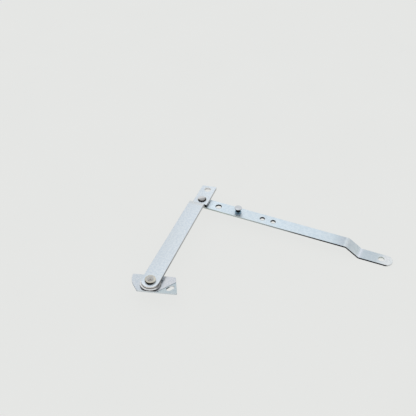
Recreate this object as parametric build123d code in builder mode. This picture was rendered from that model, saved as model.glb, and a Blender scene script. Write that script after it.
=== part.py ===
"""Folding arm set of a door closer: a frame bracket, a joggled main arm and a joggled forearm.

The frame stands on the bracket's pivot: the origin is on the pivot axis, on the bracket's
underside, which lies against the door frame. +X runs along the bracket's back edge, +Z up
along both pivots. All sizes are in millimetres and degrees.
"""
import os
from math import cos, radians, sin, tan

from build123d import *

# Rest pose, as angles of the two arms from +X
arm_angle = 76.3
forearm_angle = -16.2

# Bracket: flat plate, right side splayed, front left corner cut off
bracket_thickness = 2.5
bracket_back = 16.2
bracket_front = 14.0
bracket_left = 27.5
bracket_right_back = 32.0
bracket_right_front = 38.3
corner_cut_side = 17.0
corner_cut_front = 11.0
corner_cut_radius = 24.0
bracket_corner_radius = 2.0

# Screw slot set aslant near the bracket's front right corner, on a land coined into its face
slot_x = 27.7
slot_y = -4.8
slot_length = 12.0
slot_width = 6.5
slot_angle = 41.0
land_offset = 4.8
land_depth = 0.5

# Main arm: tapered strip, pressed down ahead of the elbow, its tab's end cut slightly askew
arm_length = 194.5
arm_thickness = 4.0
arm_width_pivot = 25.0
arm_width_tab = 22.2
arm_drop = 11.0
arm_bend_to_elbow = 22.0
arm_bend_run = 10.5
arm_bend_radius = 5.0
tab_reach = 33.5
tab_end_skew = 8.0
tab_hole_offset = 24.5
tab_hole_diameter = 10.0
tab_corner_radius = 1.2

# Forearm: parallel strip, pressed down ahead of its door end
forearm_thickness = 2.5
forearm_width = 20.0
forearm_reach = 298.0
forearm_drop = 13.5
door_end_length = 48.0
forearm_bend_run = 20.0
forearm_bend_radius = 5.0
lock_hole_offset = 27.6
lock_hole_diameter = 9.0
small_hole_offset = 98.5
small_hole_pitch = 17.0
small_hole_diameter = 7.0
door_hole_inset = 16.5
door_hole_diameter = 9.0

# Pivots: both rivets have the same shoulder, and the same bush is pressed into the arm
shoulder_diameter = 10.0
bush_wall = 1.5
running_clearance = 0.05
washer_clearance = 0.1
face_clearance = 0.1
seat_clearance = 0.02

# Bracket pivot rivet: dished pan head above, countersunk tail flush with the underside
bracket_head_diameter = 15.0
bracket_head_height = 2.2
dish_diameter = 8.6
dish_floor_diameter = 4.6
dish_depth = 1.4
bracket_tail_diameter = 8.0
countersink_diameter = 13.0
countersink_depth = 2.0
seat_washer_diameter = 18.0
seat_washer_thickness = 1.0
bracket_washer_rim = 2.0
bracket_washer_thickness = 1.5

# Elbow rivet: domed head above, upset tail on a washer below the forearm
elbow_head_diameter = 12.6
elbow_head_height = 1.3
elbow_head_rim = 0.5
elbow_tail_diameter = 8.0
upset_diameter = 12.0
upset_height = 2.0
elbow_washer_diameter = 20.0
elbow_washer_thickness = 1.5
tail_washer_diameter = 16.0
tail_washer_thickness = 1.2

# Disc spring under each rivet head, coned so that its rim stands on the arm
disc_spring_thickness = 0.4
disc_spring_cone = 0.2
disc_spring_inset = 0.4

# Spring stud: waisted spool with a mushroom head, riveted through the forearm
stud_offset = 59.5
stud_shank_diameter = 5.0
stud_flange_diameter = 10.0
stud_flange_height = 1.0
stud_waist_diameter = 4.6
stud_waist_level = 4.4
stud_head_diameter = 11.0
stud_head_level = 7.6
stud_head_rim = 0.8
stud_height = 10.0
stud_tail_diameter = 8.0
stud_tail_height = 1.5

# Rounding that pressing and punching leave on the edges of the plates, holes and washers
plate_edge = 0.4
hole_edge = 0.3
washer_edge = 0.2
head_edge = 0.7
upright_tolerance = 0.01

# Levels, from the bracket's underside up and then down the joggle to the forearm
washer_level = bracket_thickness + seat_washer_thickness
arm_level = washer_level + bracket_washer_thickness + face_clearance
arm_top = arm_level + arm_thickness
disc_spring_height = disc_spring_thickness + disc_spring_cone
bracket_head_level = arm_top + face_clearance + disc_spring_height
tab_level = arm_level - arm_drop
tab_top = tab_level + arm_thickness
elbow_head_level = tab_top + face_clearance + disc_spring_height
elbow_washer_level = tab_level - face_clearance - elbow_washer_thickness
forearm_level = elbow_washer_level - forearm_thickness
forearm_top = forearm_level + forearm_thickness
door_end_level = forearm_level - forearm_drop
tail_washer_level = forearm_level - tail_washer_thickness

# Bores that run on, or are pressed over, the same shoulder
bush_bore_diameter = shoulder_diameter + 2 * running_clearance
bush_diameter = bush_bore_diameter + 2 * bush_wall
washer_bore_diameter = shoulder_diameter + 2 * washer_clearance
bracket_washer_diameter = arm_width_pivot + 2 * bracket_washer_rim
elbow_x = arm_length * cos(radians(arm_angle))
elbow_y = arm_length * sin(radians(arm_angle))


def plan_plane(x, y, angle, level):
    """Level plane at (x, y) whose local X runs along an arm."""
    return Plane((x, y, level), x_dir=(cos(radians(angle)), sin(radians(angle)), 0), z_dir=(0, 0, 1))


def side_plane(x, y, angle):
    """Upright plane through an arm's axis: local X along the arm, local Y up."""
    x_dir = (cos(radians(angle)), sin(radians(angle)), 0)
    return Plane((x, y, 0), x_dir=x_dir, z_dir=(sin(radians(angle)), -cos(radians(angle)), 0))


def section_plane(x, y, level):
    """Upright plane for turned pieces: local X is the radius, local Y runs up the axis."""
    return Plane((x, y, level), x_dir=(1, 0, 0), z_dir=(0, -1, 0))


def finish(builder, name):
    """Name a finished piece and write it."""
    builder.part.label = name
    export_step(builder.part, f"parts/{name}.step")


def outer_rims(builder):
    """Upper and lower edges of a plate's upright walls."""
    walls = builder.faces().filter_by(lambda face: abs(face.normal_at().Z) < upright_tolerance)
    return walls.edges().filter_by(Axis.Z, reverse=True)


def punched_rim(builder, plane, offset):
    """Upper rim of the hole at an offset along an arm, on the plane of the arm's upper face."""
    centre = plane.from_local_coords((offset, 0, 0))
    return builder.edges().filter_by(GeomType.CIRCLE).sort_by_distance(centre)[0]


def flat_washer(x, y, level, diameter, bore, thickness):
    """Stamped washer with softly rounded rims."""
    with BuildPart() as washer:
        with BuildSketch(plan_plane(x, y, 0, level)):
            Circle(diameter / 2)
            Circle(bore / 2, mode=Mode.SUBTRACT)
        extrude(amount=thickness)
        rims = washer.edges().filter_by(GeomType.CIRCLE).group_by(SortBy.RADIUS)[-1]
        fillet(rims, radius=washer_edge)
    return washer


def disc_spring(x, y, level, diameter):
    """Coned spring washer: rim down on the arm, bore edge up under the rivet head."""
    bore_radius = washer_bore_diameter / 2
    rim_radius = diameter / 2
    with BuildPart() as spring:
        with BuildSketch(section_plane(x, y, level)):
            with BuildLine():
                Polyline(
                    (bore_radius, disc_spring_cone),
                    (rim_radius, 0),
                    (rim_radius, disc_spring_thickness),
                    (bore_radius, disc_spring_height),
                    close=True,
                )
            make_face()
        revolve(axis=Axis((x, y, 0), (0, 0, 1)))
    return spring


def pivot_bush(x, y, level):
    """Plain bush that fills the arm's bore from face to face."""
    with BuildPart() as bush:
        with BuildSketch(plan_plane(x, y, 0, level)):
            Circle(bush_diameter / 2)
            Circle(bush_bore_diameter / 2, mode=Mode.SUBTRACT)
        extrude(amount=arm_thickness)
    return bush


os.makedirs("parts", exist_ok=True)

# Mounting bracket
land_level = bracket_thickness - land_depth
land_reach = bracket_left + bracket_right_front
land_axis = Axis((slot_x, slot_y, 0), (-sin(radians(slot_angle)), cos(radians(slot_angle)), 0))
with BuildPart() as mounting_bracket:
    with BuildSketch() as bracket_outline:
        with BuildLine():
            Polyline(
                (-bracket_left, bracket_back),
                (bracket_right_back, bracket_back),
                (bracket_right_front, -bracket_front),
                (corner_cut_front - bracket_left, -bracket_front),
                (-bracket_left, corner_cut_side - bracket_front),
                close=True,
            )
        make_face()
        shoulder_corner = bracket_outline.vertices().group_by(Axis.X)[0].sort_by(Axis.Y)[0]
        fillet(shoulder_corner, radius=corner_cut_radius)
        sharp_corners = bracket_outline.vertices().group_by(Axis.Y)
        fillet(sharp_corners[0] + sharp_corners[-1], radius=bracket_corner_radius)
    extrude(amount=bracket_thickness)
    fillet(mounting_bracket.faces().sort_by(Axis.Z)[-1].edges(), radius=plate_edge)
    with BuildSketch(plan_plane(slot_x, slot_y, slot_angle, land_level)):
        with Locations((0, land_offset)):
            Rectangle(land_reach, land_reach, align=(Align.CENTER, Align.MAX))
    extrude(amount=land_depth, mode=Mode.SUBTRACT)
    land = mounting_bracket.faces().filter_by(Axis.Z).sort_by(Axis.Z)[-2]
    fillet(land.edges().group_by(land_axis)[:-1], radius=plate_edge)
    with BuildSketch(plan_plane(slot_x, slot_y, slot_angle, 0)):
        SlotOverall(slot_length, slot_width)
    extrude(amount=bracket_thickness, mode=Mode.SUBTRACT)
    with BuildSketch(section_plane(0, 0, 0)):
        with BuildLine():
            Polyline(
                (0, 0),
                (countersink_diameter / 2, 0),
                (bracket_tail_diameter / 2, countersink_depth),
                (bracket_tail_diameter / 2, bracket_thickness),
                (0, bracket_thickness),
                close=True,
            )
        make_face()
    revolve(axis=Axis.Z, mode=Mode.SUBTRACT)
finish(mounting_bracket, "mounting_bracket")

# Bracket pivot rivet
with BuildPart() as bracket_pivot_rivet:
    with BuildSketch(section_plane(0, 0, 0)):
        with BuildLine():
            Polyline(
                (0, 0),
                (countersink_diameter / 2 - seat_clearance, 0),
                (bracket_tail_diameter / 2 - seat_clearance, countersink_depth),
                (bracket_tail_diameter / 2 - seat_clearance, bracket_thickness),
                (shoulder_diameter / 2, bracket_thickness),
                (shoulder_diameter / 2, bracket_head_level),
                (bracket_head_diameter / 2, bracket_head_level),
                (bracket_head_diameter / 2, bracket_head_level + bracket_head_height),
                (dish_diameter / 2, bracket_head_level + bracket_head_height),
                (dish_floor_diameter / 2, bracket_head_level + bracket_head_height - dish_depth),
                (0, bracket_head_level + bracket_head_height - dish_depth),
                close=True,
            )
        make_face()
    revolve(axis=Axis.Z)
    head_rims = bracket_pivot_rivet.edges().filter_by(GeomType.CIRCLE).group_by(SortBy.RADIUS)[-1]
    fillet(head_rims.sort_by(Axis.Z)[-1], radius=head_edge)
finish(bracket_pivot_rivet, "bracket_pivot_rivet")

bracket_seat_washer = flat_washer(
    0, 0, bracket_thickness, seat_washer_diameter, washer_bore_diameter, seat_washer_thickness
)
finish(bracket_seat_washer, "bracket_seat_washer")

bracket_spacer_washer = flat_washer(
    0, 0, washer_level, bracket_washer_diameter, washer_bore_diameter, bracket_washer_thickness
)
finish(bracket_spacer_washer, "bracket_spacer_washer")

bracket_disc_spring = disc_spring(
    0, 0, arm_top + face_clearance, bracket_head_diameter - 2 * disc_spring_inset
)
finish(bracket_disc_spring, "bracket_disc_spring")

# Main arm: pressed side profile, cropped to its tapered plan
arm_bend_at = arm_length - arm_bend_to_elbow
arm_start = -arm_width_pivot / 2
tab_skew_reach = arm_width_tab / 2 * tan(radians(tab_end_skew))
tab_left_end = arm_length + tab_reach - tab_skew_reach
tab_right_end = arm_length + tab_reach + tab_skew_reach
arm_middle = arm_level + arm_thickness / 2
tab_middle = tab_level + arm_thickness / 2
with BuildPart() as main_arm:
    with BuildSketch(side_plane(0, 0, arm_angle)):
        with BuildLine():
            FilletPolyline(
                (arm_start, arm_middle),
                (arm_bend_at, arm_middle),
                (arm_bend_at + arm_bend_run, tab_middle),
                (tab_right_end, tab_middle),
                radius=arm_bend_radius,
            )
        trace(line_width=arm_thickness)
    extrude(amount=arm_width_pivot / 2, both=True)
    with BuildSketch(plan_plane(0, 0, arm_angle, tab_level)) as arm_outline:
        Circle(arm_width_pivot / 2)
        with BuildLine():
            Polyline(
                (0, -arm_width_pivot / 2),
                (tab_right_end, -arm_width_tab / 2),
                (tab_left_end, arm_width_tab / 2),
                (0, arm_width_pivot / 2),
                close=True,
            )
        make_face()
        tab_corners = arm_outline.vertices().sort_by_distance((tab_right_end, 0))[:2]
        fillet(tab_corners, radius=tab_corner_radius)
    extrude(amount=arm_top - tab_level, mode=Mode.INTERSECT)
    fillet(outer_rims(main_arm), radius=plate_edge)
    with BuildSketch(plan_plane(0, 0, arm_angle, tab_level)):
        Circle(bush_diameter / 2)
        with Locations((arm_length, 0)):
            Circle(bush_diameter / 2)
        with Locations((arm_length + tab_hole_offset, 0)):
            Circle(tab_hole_diameter / 2)
    extrude(amount=arm_top - tab_level, mode=Mode.SUBTRACT)
    tab_hole_rim = punched_rim(main_arm, plan_plane(0, 0, arm_angle, tab_top), arm_length + tab_hole_offset)
    fillet(tab_hole_rim, radius=hole_edge)
finish(main_arm, "main_arm")

finish(pivot_bush(0, 0, arm_level), "bracket_pivot_bush")
finish(pivot_bush(elbow_x, elbow_y, tab_level), "elbow_bush")

# Forearm: pressed side profile, cropped to a strip with two round ends
forearm_radius = forearm_width / 2
forearm_bend_at = forearm_reach - door_end_length - forearm_bend_run
door_hole_offset = forearm_reach - door_hole_inset
forearm_middle = forearm_level + forearm_thickness / 2
door_end_middle = door_end_level + forearm_thickness / 2
with BuildPart() as forearm:
    with BuildSketch(side_plane(elbow_x, elbow_y, forearm_angle)):
        with BuildLine():
            FilletPolyline(
                (-forearm_radius, forearm_middle),
                (forearm_bend_at, forearm_middle),
                (forearm_bend_at + forearm_bend_run, door_end_middle),
                (forearm_reach, door_end_middle),
                radius=forearm_bend_radius,
            )
        trace(line_width=forearm_thickness)
    extrude(amount=forearm_radius, both=True)
    with BuildSketch(plan_plane(elbow_x, elbow_y, forearm_angle, door_end_level)):
        with Locations(((forearm_reach - forearm_radius) / 2, 0)):
            SlotOverall(forearm_reach + forearm_radius, forearm_width)
    extrude(amount=forearm_top - door_end_level, mode=Mode.INTERSECT)
    fillet(outer_rims(forearm), radius=plate_edge)
    with BuildSketch(plan_plane(elbow_x, elbow_y, forearm_angle, door_end_level)):
        Circle(elbow_tail_diameter / 2)
        with Locations((lock_hole_offset, 0)):
            Circle(lock_hole_diameter / 2)
        with Locations((stud_offset, 0)):
            Circle(stud_shank_diameter / 2)
        with Locations((small_hole_offset, 0), (small_hole_offset + small_hole_pitch, 0)):
            Circle(small_hole_diameter / 2)
        with Locations((door_hole_offset, 0)):
            Circle(door_hole_diameter / 2)
    extrude(amount=forearm_top - door_end_level, mode=Mode.SUBTRACT)
    forearm_face = plan_plane(elbow_x, elbow_y, forearm_angle, forearm_top)
    door_end_face = plan_plane(elbow_x, elbow_y, forearm_angle, door_end_level + forearm_thickness)
    hole_rims = [
        punched_rim(forearm, forearm_face, lock_hole_offset),
        punched_rim(forearm, forearm_face, small_hole_offset),
        punched_rim(forearm, forearm_face, small_hole_offset + small_hole_pitch),
        punched_rim(forearm, door_end_face, door_hole_offset),
    ]
    fillet(hole_rims, radius=hole_edge)
finish(forearm, "forearm")

# Elbow rivet: shoulder stands on the forearm, tail is upset below its washer
with BuildPart() as elbow_rivet:
    upset_level = tail_washer_level - upset_height
    elbow_tail_radius = elbow_tail_diameter / 2 - seat_clearance
    with BuildSketch(section_plane(elbow_x, elbow_y, 0)):
        with BuildLine():
            Polyline(
                (0, upset_level),
                (upset_diameter / 2, upset_level),
                (upset_diameter / 2, tail_washer_level),
                (elbow_tail_radius, tail_washer_level),
                (elbow_tail_radius, forearm_top),
                (shoulder_diameter / 2, forearm_top),
                (shoulder_diameter / 2, elbow_head_level),
                (elbow_head_diameter / 2, elbow_head_level),
                (elbow_head_diameter / 2, elbow_head_level + elbow_head_rim),
            )
            TangentArc(
                (0, elbow_head_level + elbow_head_height),
                (elbow_head_diameter / 2, elbow_head_level + elbow_head_rim),
                tangent=(1, 0),
            )
            Line((0, elbow_head_level + elbow_head_height), (0, upset_level))
        make_face()
    revolve(axis=Axis((elbow_x, elbow_y, 0), (0, 0, 1)))
    fillet(elbow_rivet.edges().filter_by(GeomType.CIRCLE).sort_by(Axis.Z)[0], radius=head_edge)
finish(elbow_rivet, "elbow_rivet")

elbow_disc_spring = disc_spring(
    elbow_x, elbow_y, tab_top + face_clearance, elbow_head_diameter - 2 * disc_spring_inset
)
finish(elbow_disc_spring, "elbow_disc_spring")

elbow_spacer_washer = flat_washer(
    elbow_x, elbow_y, elbow_washer_level,
    elbow_washer_diameter, washer_bore_diameter, elbow_washer_thickness,
)
finish(elbow_spacer_washer, "elbow_spacer_washer")

elbow_tail_washer = flat_washer(
    elbow_x, elbow_y, tail_washer_level, tail_washer_diameter, elbow_tail_diameter, tail_washer_thickness
)
finish(elbow_tail_washer, "elbow_tail_washer")

# Spring stud: flange seated on the forearm, waist for a spring's hook, domed head
stud_x = elbow_x + stud_offset * cos(radians(forearm_angle))
stud_y = elbow_y + stud_offset * sin(radians(forearm_angle))
stud_shank_radius = stud_shank_diameter / 2 - seat_clearance
stud_tail_level = -forearm_thickness - stud_tail_height
with BuildPart() as spring_stud:
    with BuildSketch(section_plane(stud_x, stud_y, forearm_top)):
        with BuildLine():
            Polyline(
                (0, stud_height),
                (0, stud_tail_level),
                (stud_tail_diameter / 2, stud_tail_level),
                (stud_tail_diameter / 2, -forearm_thickness),
                (stud_shank_radius, -forearm_thickness),
                (stud_shank_radius, 0),
                (stud_flange_diameter / 2, 0),
                (stud_flange_diameter / 2, stud_flange_height),
            )
            ThreePointArc(
                (stud_flange_diameter / 2, stud_flange_height),
                (stud_waist_diameter / 2, stud_waist_level),
                (stud_head_diameter / 2, stud_head_level),
            )
            Line(
                (stud_head_diameter / 2, stud_head_level),
                (stud_head_diameter / 2, stud_head_level + stud_head_rim),
            )
            TangentArc(
                (0, stud_height),
                (stud_head_diameter / 2, stud_head_level + stud_head_rim),
                tangent=(1, 0),
            )
        make_face()
    revolve(axis=Axis((stud_x, stud_y, 0), (0, 0, 1)))
finish(spring_stud, "spring_stud")
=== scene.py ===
from math import cos, radians, sin

import bpy
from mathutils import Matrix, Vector


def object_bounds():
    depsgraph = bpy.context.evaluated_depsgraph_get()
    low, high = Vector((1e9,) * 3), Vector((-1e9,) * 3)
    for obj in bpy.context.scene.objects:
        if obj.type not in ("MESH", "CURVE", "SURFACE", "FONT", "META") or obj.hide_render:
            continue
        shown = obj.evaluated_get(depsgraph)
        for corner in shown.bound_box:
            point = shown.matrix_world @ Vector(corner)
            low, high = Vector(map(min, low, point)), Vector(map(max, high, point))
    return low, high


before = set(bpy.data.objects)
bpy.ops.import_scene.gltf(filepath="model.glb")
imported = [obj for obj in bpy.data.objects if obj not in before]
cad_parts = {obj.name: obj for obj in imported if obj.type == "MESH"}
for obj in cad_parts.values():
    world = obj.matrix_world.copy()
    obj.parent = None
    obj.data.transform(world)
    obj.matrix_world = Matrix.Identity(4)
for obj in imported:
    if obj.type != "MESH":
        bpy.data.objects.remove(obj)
cad_low, cad_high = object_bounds()

# Lengths are in metres, angles in degrees and noise scales per metre

# Camera: it looks along +Y, turned a little, and down on the arms; lens and sensor in millimetres
view_target = Vector((0.0579, 0.1674, 0.0))
view_turn = 6.94
view_elevation = 41.0
view_distance = 1.195
view_lens = 68.6
view_sensor = 36.0

# Stage: floor, backdrop, sky and key light
paper_tones = ((0.783, 0.790, 0.776, 1.0), (0.795, 0.802, 0.788, 1.0))
paper_scale = 9.0
floor_reach = 6.0
floor_gap = 0.0004
floor_shadow = 0.08
backdrop_colour = (0.767, 0.783, 0.760, 1.0)
sky_colour = (0.98, 0.99, 1.0, 1.0)
sky_heights = (-0.1, 0.9)
sky_levels = (0.86, 0.935)
sky_back_lift = 0.08
key_place = Vector((-0.35, 0.35, 1.60))
key_size = 1.2
key_power = 0.8

# Rest pose of the two strips, as angles from +X, and the distances between their axes
arm_angle = 76.3
forearm_angle = -16.2
arm_length = 0.1945
stud_offset = 0.0595

# Layers of the zinc plating: noise scales or stretches, the band cut from each and its share
cloud_scale = 330.0
cloud_band = (0.38, 0.62)
drift_scale = 18.0
drift_band = (0.35, 0.65)
drift_share = 0.20
spangle_scale = 420.0
spangle_share = 0.03
rolled_stretch = (22.0, 1500.0, 1500.0)
rolled_band = (0.35, 0.75)
rolled_share = 0.10
grain_scale = 2600.0
scratch_share = 0.30
scratch_sets = [
    {"turn": 14.0, "stretch": (35.0, 2300.0, 35.0), "band": (0.71, 0.76)},
    {"turn": -27.0, "stretch": (48.0, 1900.0, 48.0), "band": (0.72, 0.77)},
]
shear_stretch = (1800.0, 1800.0, 160.0)
shear_band = (0.3, 0.7)
shear_levels = (0.80, 1.10)
strip_half_width = 0.011
strip_rim_radius = 0.0010
strip_rim_share = 0.45
# Shade painted deep in the gaps between pieces: how far it reaches and how much of it shows
strip_gap_shade_reach = 0.0045
strip_gap_shade_share = 0.9
# Share of the rings of painted shade round the holes
hole_ring_share = 0.85

# Cosines that tell a strip's edges from its faces, its front edge from its back edge, and rims
edge_cosines = (0.35, 0.85)
rounding_cosines = (0.80, 0.97)
front_cosines = (-0.98, -0.86)
back_cosines = (0.86, 0.98)
rim_cosines = (0.80, 0.985)

# Rays per point for the masks of rims and gaps
rim_samples = 6
gap_samples = 8

# Gloss and relief of the zinc plating: roughness added over a band, bumps as strength and distance
cloud_gloss_band = (0.2, 0.8)
cloud_gloss = (-0.04, 0.06)
rolled_gloss_band = (0.3, 0.7)
rolled_gloss = (-0.02, 0.03)
edge_roughness = 0.20
scratch_polish = 0.06
drift_bump = (0.30, 0.0006)
rolled_bump = (0.06, 0.00005)
grain_bump = (0.03, 0.00004)
scratch_bump = (-0.12, 0.00004)

# Layers of the round pieces
ring_shape = {"Distortion": 1.2, "Detail": 2.0, "Detail Scale": 1.5}
ring_band = (0.2, 0.9)
ring_share = 0.25
ring_bump = (0.14, 0.00004)
round_cloud_scale = 260.0
round_cloud_band = (0.3, 0.7)
round_gloss_band = (0.2, 0.8)
round_gloss = (-0.05, 0.08)
round_grain_scale = 3200.0
round_grain_bump = (0.06, 0.00003)
round_rim_radius = 0.0006
# Shade painted deep in the gaps of the round pieces: reach, band and level
round_gap_shade_reach = 0.003
round_gap_shade_band = (0.25, 0.75)
round_gap_shade_level = 0.012

# Edge-on shine fades out below these levels of the base colour, so that dark stays dark
dark_levels = (0.01, 0.08)


def heading(angle):
    """Unit vector in the plan, at an angle from +X."""
    return Vector((cos(radians(angle)), sin(radians(angle)), 0.0))


def tint(red, green, blue, alpha=1.0):
    """Colour, opaque unless an alpha is given."""
    return (red, green, blue, alpha)


def grey(level):
    """Neutral colour of one level."""
    return tint(level, level, level)


def add_node(tree, kind, inputs=None, **settings):
    """Add a shader node, set its properties, and set or link its inputs by name or number."""
    node = tree.nodes.new(kind)
    for name, value in settings.items():
        setattr(node, name, value)
    for name, value in (inputs or {}).items():
        if isinstance(value, bpy.types.NodeSocket):
            tree.links.new(value, node.inputs[name])
        else:
            node.inputs[name].default_value = value
    return node


def band(tree, value, low, high, start=0.0, end=1.0):
    """Map low..high onto start..end, clamped."""
    span = {"Value": value, "From Min": low, "From Max": high, "To Min": start, "To Max": end}
    return add_node(tree, "ShaderNodeMapRange", span).outputs["Result"]


def maths(tree, operation, first, second=0.0):
    """One arithmetic step."""
    return add_node(tree, "ShaderNodeMath", {0: first, 1: second}, operation=operation).outputs[0]


def vector_maths(tree, operation, first, second=(0.0, 0.0, 0.0)):
    """One step of vector arithmetic."""
    node = add_node(tree, "ShaderNodeVectorMath", {0: first, 1: second}, operation=operation)
    return node.outputs["Value" if operation in ("DOT_PRODUCT", "LENGTH") else "Vector"]


def split(tree, vector):
    """X, Y and Z of a vector."""
    return add_node(tree, "ShaderNodeSeparateXYZ", {0: vector}).outputs


def inside(tree, value, low, high):
    """1 between two limits, 0 outside them."""
    above = maths(tree, "GREATER_THAN", value, low)
    below = maths(tree, "LESS_THAN", value, high)
    return maths(tree, "MULTIPLY", above, below)


def blend_colour(tree, factor, first, second, how="MIX"):
    """Mix two colours by a factor."""
    inputs = {0: factor, 6: first, 7: second}
    return add_node(tree, "ShaderNodeMix", inputs, data_type="RGBA", blend_type=how).outputs[2]


def noise(tree, vector, scale, detail=3.0, roughness=0.5):
    """Noise value at a scale."""
    inputs = {"Vector": vector, "Scale": scale, "Detail": detail, "Roughness": roughness}
    return add_node(tree, "ShaderNodeTexNoise", inputs).outputs["Fac"]


def placed(tree, vector, location=(0, 0, 0), turn=0.0, scale=(1, 1, 1)):
    """Scale, turn about Z and shift a coordinate."""
    inputs = {"Vector": vector, "Location": location, "Rotation": (0, 0, radians(turn)), "Scale": scale}
    return add_node(tree, "ShaderNodeMapping", inputs).outputs["Vector"]


def shade_profile(tree, position, stops):
    """Colour and alpha along a piece, from (position, colour) stops between 0 and 1."""
    ramp = add_node(tree, "ShaderNodeValToRGB", {0: position})
    elements = ramp.color_ramp.elements
    elements.remove(elements[0])
    elements[0].position = stops[0][0]
    elements[0].color = stops[0][1]
    for place, colour in stops[1:]:
        elements.new(place).color = colour
    return ramp.outputs


def start_material(name):
    """Empty node material, its tree and its texture coordinates."""
    material = bpy.data.materials.new(name)
    material.use_nodes = True
    tree = material.node_tree
    tree.nodes.clear()
    return material, tree, add_node(tree, "ShaderNodeTexCoord").outputs


def edge_mask(tree, radius):
    """1 on rims and corners, 0 on open faces."""
    bevel = add_node(tree, "ShaderNodeBevel", {"Radius": radius}, samples=rim_samples)
    geometry = add_node(tree, "ShaderNodeNewGeometry")
    bend = vector_maths(tree, "DOT_PRODUCT", bevel.outputs[0], geometry.outputs["Normal"])
    return band(tree, bend, *rim_cosines, 1.0, 0.0)


def gap_shade_mask(tree, reach, deep, open_air):
    """1 deep in the gaps between pieces, where shade is painted, 0 on open faces."""
    hollow = add_node(tree, "ShaderNodeAmbientOcclusion", {"Distance": reach}, samples=gap_samples)
    return band(tree, hollow.outputs["AO"], deep, open_air, 1.0, 0.0)


def finish_metal(tree, colour, roughness, heights, metallic=1.0):
    """Metal shader over a stack of bump heights, each (height, strength, distance)."""
    normal = None
    for height, strength, distance in heights:
        inputs = {"Height": height, "Strength": strength, "Distance": distance}
        if normal is not None:
            inputs["Normal"] = normal
        normal = add_node(tree, "ShaderNodeBump", inputs).outputs["Normal"]
    level = add_node(tree, "ShaderNodeRGBToBW", {0: colour}).outputs[0]
    inputs = {
        "Base Color": colour, "Roughness": roughness, "Metallic": metallic, "Normal": normal,
        "Specular Tint": band(tree, level, *dark_levels),
    }
    shader = add_node(tree, "ShaderNodeBsdfPrincipled", inputs)
    add_node(tree, "ShaderNodeOutputMaterial", {"Surface": shader.outputs[0]})


def strip_layers(tree, along):
    """Noise layers of a plated strip: clouds, slow drift, rolling lines, grain and scratches."""
    scratches = []
    for lines in scratch_sets:
        stretched = placed(tree, along, turn=lines["turn"], scale=lines["stretch"])
        scratches.append(band(tree, noise(tree, stretched, 1.0, detail=1.0), *lines["band"]))
    return {
        "clouds": noise(tree, along, cloud_scale, detail=2.0),
        "drift": noise(tree, along, drift_scale, detail=2.0),
        "rolled": noise(tree, placed(tree, along, scale=rolled_stretch), 1.0, detail=4.0, roughness=0.6),
        "grain": noise(tree, along, grain_scale, detail=2.0),
        "scratches": maths(tree, "MAXIMUM", *scratches),
    }


def plated_face(tree, along, axes, place, layers, finish):
    """Colour of a strip's faces: clouded plating, its tones along and across, painted shade and highlights
    along it, rings of painted shade round the holes and painted shade on a low face.
    """
    colour = blend_colour(tree, band(tree, layers["clouds"], *cloud_band), finish["cool"], finish["warm"])
    patches = band(tree, layers["drift"], *drift_band, 0.0, drift_share)
    colour = blend_colour(tree, patches, colour, finish["dull"])
    spangle = add_node(tree, "ShaderNodeTexVoronoi", {"Vector": along, "Scale": spangle_scale})
    cells = add_node(tree, "ShaderNodeSeparateColor", {0: spangle.outputs["Color"]}).outputs[0]
    colour = blend_colour(tree, band(tree, cells, 0.0, 1.0, 0.0, spangle_share), colour, finish["shade"])
    lines = band(tree, layers["rolled"], *rolled_band, 0.0, rolled_share)
    colour = blend_colour(tree, lines, colour, finish["shade"])
    scratched = maths(tree, "MULTIPLY", layers["scratches"], scratch_share)
    colour = blend_colour(tree, scratched, colour, finish["worn_and_glint"])
    # Painted shade and highlights along the strip, at the joggles and their bends
    tones = shade_profile(tree, place, finish["stops"])["Color"]
    colour = blend_colour(tree, 1.0, colour, tones, "MULTIPLY")
    if "lean" in finish:
        lean = band(tree, axes["Y"], -strip_half_width, strip_half_width, *finish["lean"])
        colour = blend_colour(tree, 1.0, colour, lean, "MULTIPLY")
    # Rings of painted shade round the holes
    for hole_x, ring_inner, ring_outer, ring_tone in finish["hole_rings"]:
        from_hole = placed(tree, along, location=(-hole_x, 0, 0), scale=(1, 1, 0))
        reach = vector_maths(tree, "LENGTH", from_hole)
        ring = band(tree, reach, ring_inner, ring_outer, hole_ring_share, 0.0)
        colour = blend_colour(tree, ring, colour, ring_tone)
    # Painted shade on the low face
    if "low_face" in finish:
        low_face = inside(tree, axes["Z"], *finish["low_face"])
        colour = blend_colour(tree, low_face, colour, finish["low_shade"], "MULTIPLY")
    return colour


def sheared_edge(tree, along, axes, place, front_side, back_side, finish):
    """Colour of a strip's ends, front and back edges and hole walls, with shearing lines, painted shade and
    light.
    """
    colour = blend_colour(tree, back_side, finish["cropped"], finish["back_edge"])
    # Painted shade and light along the front edge
    front = shade_profile(tree, place, finish["edge_stops"])["Color"]
    colour = blend_colour(tree, front_side, colour, front)
    hole_along = inside(tree, axes["X"], *finish["holes_along"])
    hole_across = inside(tree, axes["Y"], *finish["holes_across"])
    in_hole = maths(tree, "MULTIPLY", hole_along, hole_across)
    if "hole_top" in finish:
        in_hole = maths(tree, "MULTIPLY", in_hole, maths(tree, "LESS_THAN", axes["Z"], finish["hole_top"]))
    # Painted shade in the hole walls
    walls = shade_profile(tree, place, finish["hole_stops"])["Color"]
    colour = blend_colour(tree, in_hole, colour, walls)
    # Painted shade low on the end wall
    if "foot" in finish:
        foot = band(tree, axes["Z"], *finish["foot_levels"], 1.0, 0.0)
        foot = maths(tree, "MULTIPLY", foot, maths(tree, "LESS_THAN", axes["X"], finish["foot_end"]))
        colour = blend_colour(tree, foot, colour, finish["foot"])
    shear_lines = noise(tree, placed(tree, along, scale=shear_stretch), 1.0)
    return blend_colour(tree, 1.0, colour, band(tree, shear_lines, *shear_band, *shear_levels), "MULTIPLY")


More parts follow.
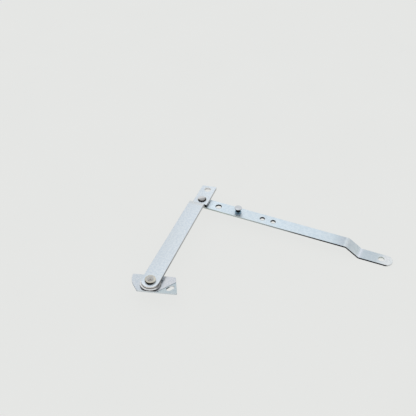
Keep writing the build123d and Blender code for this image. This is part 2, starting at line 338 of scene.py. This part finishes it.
def zinc_plate(name, pivot, turn, finish):
    """Zinc-plated strip: clouded plating, rolling lines along it, scratches, sheared edges, painted shade
    in gaps.
    """
    material, tree, coords = start_material(name)
    direction = heading(turn)
    across = Vector((-direction.y, direction.x, 0.0))
    shift = (-direction.dot(pivot), -across.dot(pivot), 0.0)
    along = placed(tree, coords["Object"], location=shift, turn=-turn)
    axes = split(tree, along)
    place = band(tree, axes["X"], finish["start"], finish["end"])
    layers = strip_layers(tree, along)

    upright = maths(tree, "ABSOLUTE", split(tree, coords["Normal"])["Z"])
    level_normal = vector_maths(tree, "MULTIPLY", coords["Normal"], (1.0, 1.0, 0.0))
    facing = vector_maths(tree, "DOT_PRODUCT", vector_maths(tree, "NORMALIZE", level_normal), across)
    front_side = band(tree, facing, *front_cosines, 1.0, 0.0)
    back_side = band(tree, facing, *back_cosines)
    # The rounded front rims take the front edge's painted shade too
    rounding = maths(tree, "MULTIPLY", front_side, band(tree, upright, *rounding_cosines, 1.0, 0.0))
    side = maths(tree, "MAXIMUM", rounding, band(tree, upright, *edge_cosines, 1.0, 0.0))
    rims = maths(tree, "MULTIPLY", edge_mask(tree, strip_rim_radius), maths(tree, "SUBTRACT", 1.0, side))
    gap_shade = gap_shade_mask(tree, strip_gap_shade_reach, *finish["gap_shade_band"])

    plating = plated_face(tree, along, axes, place, layers, finish)
    edges = sheared_edge(tree, along, axes, place, front_side, back_side, finish)
    colour = blend_colour(tree, side, plating, edges)
    colour = blend_colour(tree, maths(tree, "MULTIPLY", rims, strip_rim_share), colour, finish["worn_and_glint"])
    # Paint shade deep in the gaps between pieces
    colour = blend_colour(tree, maths(tree, "MULTIPLY", gap_shade, strip_gap_shade_share), colour, finish["gap_shade"])

    gloss = [finish["roughness"] + change for change in cloud_gloss]
    roughness = band(tree, layers["clouds"], *cloud_gloss_band, *gloss)
    rolled_change = band(tree, layers["rolled"], *rolled_gloss_band, *rolled_gloss)
    roughness = maths(tree, "ADD", roughness, rolled_change)
    roughness = maths(tree, "ADD", roughness, maths(tree, "MULTIPLY", side, edge_roughness))
    polish = maths(tree, "MULTIPLY", layers["scratches"], scratch_polish)
    roughness = maths(tree, "SUBTRACT", roughness, polish)
    heights = [
        (layers["drift"], *drift_bump),
        (layers["rolled"], *rolled_bump),
        (layers["grain"], *grain_bump),
        (layers["scratches"], *scratch_bump),
    ]
    finish_metal(tree, colour, roughness, heights)
    return material


def turned_metal(name, axis, finish):
    """Turned or stamped round piece: rings about its axis, faint clouding, rims showing wear and a painted
    glint, a side colour, painted shade and side shading.
    """
    material, tree, coords = start_material(name)
    local = placed(tree, coords["Object"], location=(-axis.x, -axis.y, 0))
    ring_inputs = {"Vector": local, "Scale": finish["rings"], **ring_shape}
    wave = add_node(tree, "ShaderNodeTexWave", ring_inputs, wave_type="RINGS", rings_direction="Z")
    rings = wave.outputs["Fac"]
    clouds = noise(tree, local, round_cloud_scale, detail=4.0, roughness=0.6)
    grain = noise(tree, local, round_grain_scale, detail=2.0)
    side = band(tree, split(tree, coords["Normal"])["Z"], *finish["side_band"], 1.0, 0.0)
    rims = edge_mask(tree, round_rim_radius)

    colour = blend_colour(tree, band(tree, clouds, *round_cloud_band), finish["dull"], finish["pale"])
    colour = blend_colour(tree, band(tree, rings, *ring_band, 0.0, ring_share), colour, finish["dull"])
    radius = vector_maths(tree, "LENGTH", placed(tree, local, scale=(1, 1, 0)))
    # Rings by radius, on the rivet a yellow rim and painted shade in the dimple
    for inner, outer, inner_share, outer_share, ring_tone in finish["radius_marks"]:
        mark = band(tree, radius, inner, outer, inner_share, outer_share)
        colour = blend_colour(tree, mark, colour, ring_tone)
    # Painted light or shade towards one side
    if "painted_side_shading" in finish:
        way = vector_maths(tree, "DOT_PRODUCT", local, finish["painted_side_shading_to"])
        painted_side_shading = band(tree, way, *finish["painted_side_shading_span"])
        colour = blend_colour(tree, painted_side_shading, colour, finish["painted_side_shading"])
        side = maths(tree, "MULTIPLY", side, maths(tree, "SUBTRACT", 1.0, painted_side_shading))
    # Side colour of steep faces, on the rivets, the stud and the pale washer a painted shade
    colour = blend_colour(tree, side, colour, finish["side"])
    # Rims showing wear, and on the yellow rivet also a painted glint
    colour = blend_colour(tree, maths(tree, "MULTIPLY", rims, finish["wear_and_glint"]), colour, finish["worn_and_glint"])
    # Colours along the axis, on the stud painted shade and painted reflection
    if "levels" in finish:
        height = band(tree, split(tree, local)["Z"], *finish["level_span"])
        levels = shade_profile(tree, height, finish["levels"])
        colour = blend_colour(tree, levels["Alpha"], colour, levels["Color"])
    # Paint shade deep in the gaps between pieces
    if finish["gap_shade"] > 0.0:
        gaps = gap_shade_mask(tree, round_gap_shade_reach, *round_gap_shade_band)
        gap_shade = maths(tree, "MULTIPLY", gaps, finish["gap_shade"])
        colour = blend_colour(tree, gap_shade, colour, grey(round_gap_shade_level))

    gloss = [finish["roughness"] + change for change in round_gloss]
    roughness = band(tree, clouds, *round_gloss_band, *gloss)
    heights = [(rings, *ring_bump), (grain, *round_grain_bump)]
    finish_metal(tree, colour, roughness, heights, finish["metallic"])
    return material


def dress(node, material):
    """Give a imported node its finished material."""
    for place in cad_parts[node].material_slots:
        place.material = material


origin = Vector((0.0, 0.0, 0.0))
elbow_axis = arm_length * heading(arm_angle)
stud_axis = elbow_axis + stud_offset * heading(forearm_angle)

# Zinc plates. Stops run from start to end along the strip: stops for the faces, edge_stops for the
# front edge, hole_stops for the walls of the holes; all three paint shade and highlights as well as
# tone. lean is the tone from front to back, hole_rings are (place, inner and outer radius, colour) of
# rings of painted shade round the holes, low_face and foot are level bands of painted shade, and the
# gap colour and band set the shade painted deep in the gaps between pieces.
zinc_common = {
    "dull": tint(0.66, 0.69, 0.69), "shade": tint(0.52, 0.57, 0.62), "worn_and_glint": tint(0.42, 0.44, 0.45),
    "back_edge": tint(0.55, 0.58, 0.60), "roughness": 0.40, "hole_rings": [],
}
arm_finish = {
    **zinc_common, "start": -0.0125, "end": 0.229,
    "cool": tint(0.615, 0.68, 0.745), "warm": tint(0.705, 0.755, 0.795), "cropped": tint(0.82, 0.79, 0.75),
    # Painted highlight at the pivot end, painted shade and light at the joggle
    "stops": [
        (0.0, grey(1.16)), (0.022, grey(1.16)), (0.045, grey(1.0)), (0.3, grey(1.0)), (0.6, grey(1.02)),
        (0.742, grey(1.02)), (0.752, tint(1.01, 0.97, 0.93)), (0.775, tint(1.01, 0.97, 0.93)),
        (0.79, tint(1.04, 1.02, 1.0)), (0.805, grey(1.05)), (0.9, grey(1.06)), (1.0, grey(1.07)),
    ],
    # Painted shade along the front edge, black at the joggle where the gap beside it is in shade
    "edge_stops": [
        (0.0, grey(0.46)), (0.10, grey(0.44)), (0.15, grey(0.40)), (0.20, grey(0.38)), (0.24, grey(0.46)),
        (0.5, grey(0.54)), (0.755, grey(0.58)), (0.782, grey(0.005)), (0.815, grey(0.005)),
        (0.835, grey(0.52)), (1.0, grey(0.62)),
    ],
    "holes_along": (0.205, 0.227), "holes_across": (-0.008, 0.008), "hole_stops": [(0.0, grey(0.85))],
    "gap_shade": grey(0.010), "gap_shade_band": (0.08, 0.28), "lean": (1.065, 0.985),
    # Painted shade low on the arm's end wall, above the washer
    "foot": grey(0.22), "foot_levels": (0.0065, 0.0072), "foot_end": 0.022,
}
forearm_finish = {
    **zinc_common, "start": -0.010, "end": 0.298,
    "cool": tint(0.64, 0.745, 0.825), "warm": tint(0.735, 0.825, 0.89), "cropped": tint(0.72, 0.73, 0.74),
    # Painted shade on the joggle and bright painted lines on its bends
    "stops": [
        (0.0, grey(1.07)), (0.11, grey(1.07)), (0.17, grey(1.01)), (0.55, grey(1.01)), (0.70, grey(0.97)),
        (0.72, tint(0.88, 0.89, 0.89)), (0.75, tint(0.83, 0.81, 0.82)), (0.764, tint(0.79, 0.775, 0.77)),
        (0.768, tint(1.0, 0.965, 0.945)), (0.774, tint(0.97, 0.92, 0.885)), (0.783, tint(0.88, 0.83, 0.80)),
        (0.788, tint(0.79, 0.77, 0.75)), (0.834, tint(0.86, 0.83, 0.79)), (0.838, tint(0.95, 0.91, 0.89)),
        (0.845, tint(1.12, 1.04, 1.03)), (0.852, tint(0.90, 0.86, 0.86)), (0.862, grey(0.81)),
        (0.91, grey(0.81)), (0.925, tint(0.85, 0.84, 0.83)), (0.945, tint(0.97, 0.935, 0.915)),
        (0.962, tint(1.10, 1.01, 0.96)), (1.0, tint(1.14, 1.05, 0.99)),
    ],
    # Painted shade along the front edge, from grey-green at the elbow to black at the door end
    "edge_stops": [
        (0.0, tint(0.45, 0.50, 0.47)), (0.16, tint(0.58, 0.64, 0.61)), (0.27, tint(0.58, 0.63, 0.62)),
        (0.38, tint(0.47, 0.51, 0.51)), (0.48, tint(0.36, 0.39, 0.39)), (0.53, tint(0.17, 0.18, 0.18)),
        (0.60, grey(0.11)), (0.70, grey(0.03)), (0.76, grey(0.004)), (1.0, grey(0.004)),
    ],
    "holes_along": (0.015, 0.292), "holes_across": (-0.0075, 0.0075),
    # Painted shade in the hole walls, near-black and dark brown
    "hole_stops": [
        (0.0, grey(0.004)), (0.25, grey(0.004)), (0.30, tint(0.010, 0.006, 0.004)),
        (0.60, tint(0.010, 0.006, 0.004)), (0.70, tint(0.62, 0.66, 0.63)),
    ],
    # Rings of painted shade round the lock hole and the two small holes
    "hole_rings": [
        (0.0276, 0.0047, 0.0053, tint(0.06, 0.07, 0.07)),
        (0.0985, 0.0038, 0.0043, tint(0.09, 0.075, 0.065)),
        (0.1155, 0.0038, 0.0043, tint(0.09, 0.075, 0.065)),
    ],
    # Teal painted shade in the gaps, as beside the tab and round the foot of the stud
    "gap_shade": tint(0.08, 0.125, 0.16), "gap_shade_band": (0.15, 0.52), "lean": (1.02, 0.985),
}
bracket_finish = {
    **zinc_common, "start": -0.0275, "end": 0.0385,
    "cool": tint(0.56, 0.62, 0.68), "warm": tint(0.65, 0.69, 0.73), "cropped": tint(0.50, 0.54, 0.58),
    "stops": [
        (0.0, grey(1.0)), (0.5, grey(1.01)), (0.72, tint(1.07, 1.02, 1.0)), (1.0, tint(1.03, 0.99, 0.98)),
    ],
    # Edges painted bright, a painted reflection of the pale floor
    "edge_stops": [(0.0, tint(0.76, 0.80, 0.82)), (1.0, tint(0.72, 0.77, 0.80))],
    "holes_along": (0.015, 0.0319), "holes_across": (-0.0128, 0.004), "hole_top": 0.00195,
    # Painted shade on the walls at the slot's left end
    "hole_stops": [(0.0, grey(0.005)), (0.79, grey(0.005)), (0.83, grey(0.80)), (1.0, grey(0.80))],
    # Teal painted shade on the coined land
    "low_face": (0.0012, 0.0022), "low_shade": tint(0.80, 0.88, 0.88), "worn_and_glint": tint(0.34, 0.36, 0.37),
    "gap_shade": tint(0.030, 0.032, 0.036), "gap_shade_band": (0.10, 0.36), "roughness": 0.28,
}
dress("main_arm", zinc_plate("arm_zinc_plate", origin, arm_angle, arm_finish))
dress("forearm", zinc_plate("forearm_zinc_plate", elbow_axis, forearm_angle, forearm_finish))
dress("mounting_bracket", zinc_plate("bracket_zinc_plate", origin, 0.0, bracket_finish))

# Round pieces. radius_marks are (inner and outer radius, share at each, colour), the colour towards
# one side is painted light or shade on that side, and levels run along the axis over level_span. The
# side colour of steep faces is painted shade on the rivets, the stud and the pale washer, and the gap
# share sets the shade painted deep in the gaps.
round_common = {
    "metallic": 1.0, "side_band": (0.15, 0.60), "gap_shade": 0.9, "rings": 900.0, "radius_marks": [],
}
rivet_finish = {
    **round_common, "pale": tint(0.56, 0.56, 0.55), "dull": tint(0.44, 0.43, 0.41),
    # Painted shade on the side of the head
    "side": tint(0.005, 0.005, 0.004), "side_band": (0.30, 0.80), "worn_and_glint": tint(0.70, 0.63, 0.44),
    # Rims get a yellow painted glint on top of real rubbing
    "wear_and_glint": 0.2, "roughness": 0.26,
    # A yellow ring at the rim, partly yellow passivation and partly painted glint, and painted shade in the
    # central dimple
    "radius_marks": [
        (0.0052, 0.0062, 0.0, 0.6, tint(0.58, 0.54, 0.43)),
        (0.0005, 0.0024, 0.75, 0.0, tint(0.14, 0.135, 0.13)),
    ],
    # Painted highlight on the right side of the head
    "painted_side_shading": tint(0.70, 0.67, 0.58), "painted_side_shading_to": (1.0, 0.1, 0.0), "painted_side_shading_span": (0.0030, 0.0080),
}
plain_finish = {
    **round_common, "pale": grey(0.41), "dull": grey(0.33),
    # Painted shade on the dome's sloping edge
    "side": grey(0.012), "side_band": (0.974, 0.988), "worn_and_glint": grey(0.40), "wear_and_glint": 0.1, "roughness": 0.22,
    # Painted highlight on the back of the head
    "painted_side_shading": tint(0.66, 0.67, 0.68), "painted_side_shading_to": (-0.42, 0.91, 0.0), "painted_side_shading_span": (-0.0012, 0.0018),
}
stud_finish = {
    **round_common, "rings": 1300.0, "pale": tint(0.66, 0.68, 0.71), "dull": tint(0.56, 0.59, 0.62),
    # Painted shade on the rim and underside of the head
    "side": tint(0.05, 0.052, 0.06), "side_band": (0.45, 0.80), "worn_and_glint": tint(0.50, 0.52, 0.56),
    "wear_and_glint": 0.15, "gap_shade": 0.3, "roughness": 0.14, "level_span": (-0.0075, 0.0030),
    # Teal painted reflection and shade on the foot, near-black painted shade on the waist under the head
    "levels": [
        (0.0, tint(0.20, 0.30, 0.37)), (0.13, tint(0.20, 0.30, 0.37)), (0.18, tint(0.010, 0.012, 0.013)),
        (0.66, tint(0.010, 0.012, 0.013)), (0.72, tint(0.010, 0.012, 0.013, 0.0)),
    ],
}
washer_finish = {
    **round_common, "rings": 700.0, "pale": tint(0.78, 0.80, 0.81), "dull": tint(0.66, 0.69, 0.71),
    "side": tint(0.80, 0.81, 0.81), "worn_and_glint": tint(0.84, 0.85, 0.86), "wear_and_glint": 0.5, "roughness": 0.60,
}
pale_washer_finish = {
    # Painted shade on the washer's rim
    **washer_finish, "pale": grey(0.97), "dull": grey(0.94), "side": grey(0.09), "worn_and_glint": grey(0.96),
    "wear_and_glint": 0.1, "gap_shade": 0.0, "metallic": 0.0,
    # Painted shade on the right side of the washer
    "painted_side_shading": grey(0.34), "painted_side_shading_to": (1.0, 0.0, 0.0), "painted_side_shading_span": (0.0082, 0.0108),
}
# Near-black spring steel, darkened further so that it also stands for the shade in the gaps
dark_finish = {
    **round_common, "rings": 700.0, "pale": tint(0.035, 0.037, 0.042), "dull": tint(0.016, 0.017, 0.020),
    "side": tint(0.006, 0.006, 0.008), "worn_and_glint": tint(0.12, 0.12, 0.13), "wear_and_glint": 0.1, "roughness": 0.36,
}
brass_finish = {
    **round_common, "pale": tint(0.66, 0.52, 0.26), "dull": tint(0.46, 0.34, 0.15),
    "side": tint(0.50, 0.38, 0.18), "worn_and_glint": tint(0.74, 0.62, 0.36), "wear_and_glint": 0.4, "roughness": 0.28,
}
dress("bracket_pivot_rivet", turned_metal("yellow_passivated_rivet", origin, rivet_finish))
dress("elbow_rivet", turned_metal("plain_steel_rivet", elbow_axis, plain_finish))
dress("spring_stud", turned_metal("turned_stud", stud_axis, stud_finish))
dress("bracket_spacer_washer", turned_metal("bracket_washer_zinc", origin, pale_washer_finish))
elbow_washer_zinc = turned_metal("elbow_washer_zinc", elbow_axis, washer_finish)
dress("elbow_spacer_washer", elbow_washer_zinc)
dress("elbow_tail_washer", elbow_washer_zinc)
bracket_dark = turned_metal("bracket_spring_steel", origin, dark_finish)
dress("bracket_seat_washer", bracket_dark)
dress("bracket_disc_spring", bracket_dark)
dress("elbow_disc_spring", turned_metal("elbow_spring_steel", elbow_axis, dark_finish))
dress("bracket_pivot_bush", turned_metal("bracket_bush_brass", origin, brass_finish))
dress("elbow_bush", turned_metal("elbow_bush_brass", elbow_axis, brass_finish))

# Floor: pale, with only a small part of the object's shadow left in it
floor_mesh = bpy.data.meshes.new("floor")
floor_level = cad_low.z - floor_gap
floor_corners = [
    (view_target.x + x * floor_reach, view_target.y + y * floor_reach, floor_level)
    for x, y in ((-1, -1), (1, -1), (1, 1), (-1, 1))
]
floor_mesh.from_pydata(floor_corners, [], [(0, 1, 2, 3)])
floor = bpy.data.objects.new("floor", floor_mesh)
bpy.context.scene.collection.objects.link(floor)
floor_material, floor_tree, floor_coords = start_material("pale_floor")
floor_path = add_node(floor_tree, "ShaderNodeLightPath").outputs
seen = maths(floor_tree, "MAXIMUM", floor_path["Is Camera Ray"], floor_path["Is Glossy Ray"])
seen = maths(floor_tree, "MAXIMUM", seen, floor_path["Is Transmission Ray"])
paper = noise(floor_tree, floor_coords["Object"], paper_scale, detail=4.0)
paper_colour = blend_colour(floor_tree, paper, *paper_tones)
floor_lit = add_node(floor_tree, "ShaderNodeBsdfDiffuse", {"Color": paper_colour})
floor_flat = add_node(floor_tree, "ShaderNodeEmission", {"Color": paper_colour, "Strength": 1.0})
floor_share = maths(floor_tree, "MULTIPLY", seen, 1.0 - floor_shadow)
floor_mix = add_node(
    floor_tree, "ShaderNodeMixShader",
    {0: floor_share, 1: floor_lit.outputs[0], 2: floor_flat.outputs[0]},
)
add_node(floor_tree, "ShaderNodeOutputMaterial", {"Surface": floor_mix.outputs[0]})
floor_mesh.materials.append(floor_material)

# World: soft sky, a little brighter behind the object than in front of it, and the plain backdrop
world = bpy.data.worlds.new("studio")
bpy.context.scene.world = world
world.use_nodes = True
sky = world.node_tree
sky.nodes.clear()
sky_axes = split(sky, add_node(sky, "ShaderNodeTexCoord").outputs["Generated"])
sky_height = band(sky, sky_axes["Z"], *sky_heights, *sky_levels)
sky_back = band(sky, sky_axes["Y"], -1.0, 1.0, -sky_back_lift, sky_back_lift)
sky_level = maths(sky, "ADD", sky_height, sky_back)
sky_path = add_node(sky, "ShaderNodeLightPath").outputs
sky_light = add_node(sky, "ShaderNodeBackground", {"Color": sky_colour, "Strength": sky_level})
sky_seen = add_node(sky, "ShaderNodeBackground", {"Color": backdrop_colour, "Strength": 1.0})
sky_mix = add_node(
    sky, "ShaderNodeMixShader",
    {0: sky_path["Is Camera Ray"], 1: sky_light.outputs[0], 2: sky_seen.outputs[0]},
)
add_node(sky, "ShaderNodeOutputWorld", {"Surface": sky_mix.outputs[0]})

# Key light: a square soft box aimed at the object
key_data = bpy.data.lights.new("key_light", "AREA")
key_data.shape = "SQUARE"
key_data.size = key_size
key_data.energy = key_power
key_light = bpy.data.objects.new("key_light", key_data)
key_light.location = key_place
key_light.rotation_mode = "QUATERNION"
key_light.rotation_quaternion = (view_target - key_place).to_track_quat("-Z", "Y")
bpy.context.scene.collection.objects.link(key_light)

# Camera
view_direction = Vector((
    -sin(radians(view_turn)) * cos(radians(view_elevation)),
    cos(radians(view_turn)) * cos(radians(view_elevation)),
    -sin(radians(view_elevation)),
))
camera_data = bpy.data.cameras.new("camera")
camera_data.lens = view_lens
camera_data.sensor_width = view_sensor
camera_data.sensor_fit = "HORIZONTAL"
camera = bpy.data.objects.new("camera", camera_data)
camera.location = view_target - view_distance * view_direction
camera.rotation_mode = "QUATERNION"
camera.rotation_quaternion = view_direction.to_track_quat("-Z", "Y")
bpy.context.scene.collection.objects.link(camera)
bpy.context.scene.camera = camera
bpy.context.scene.view_settings.view_transform = "Standard"
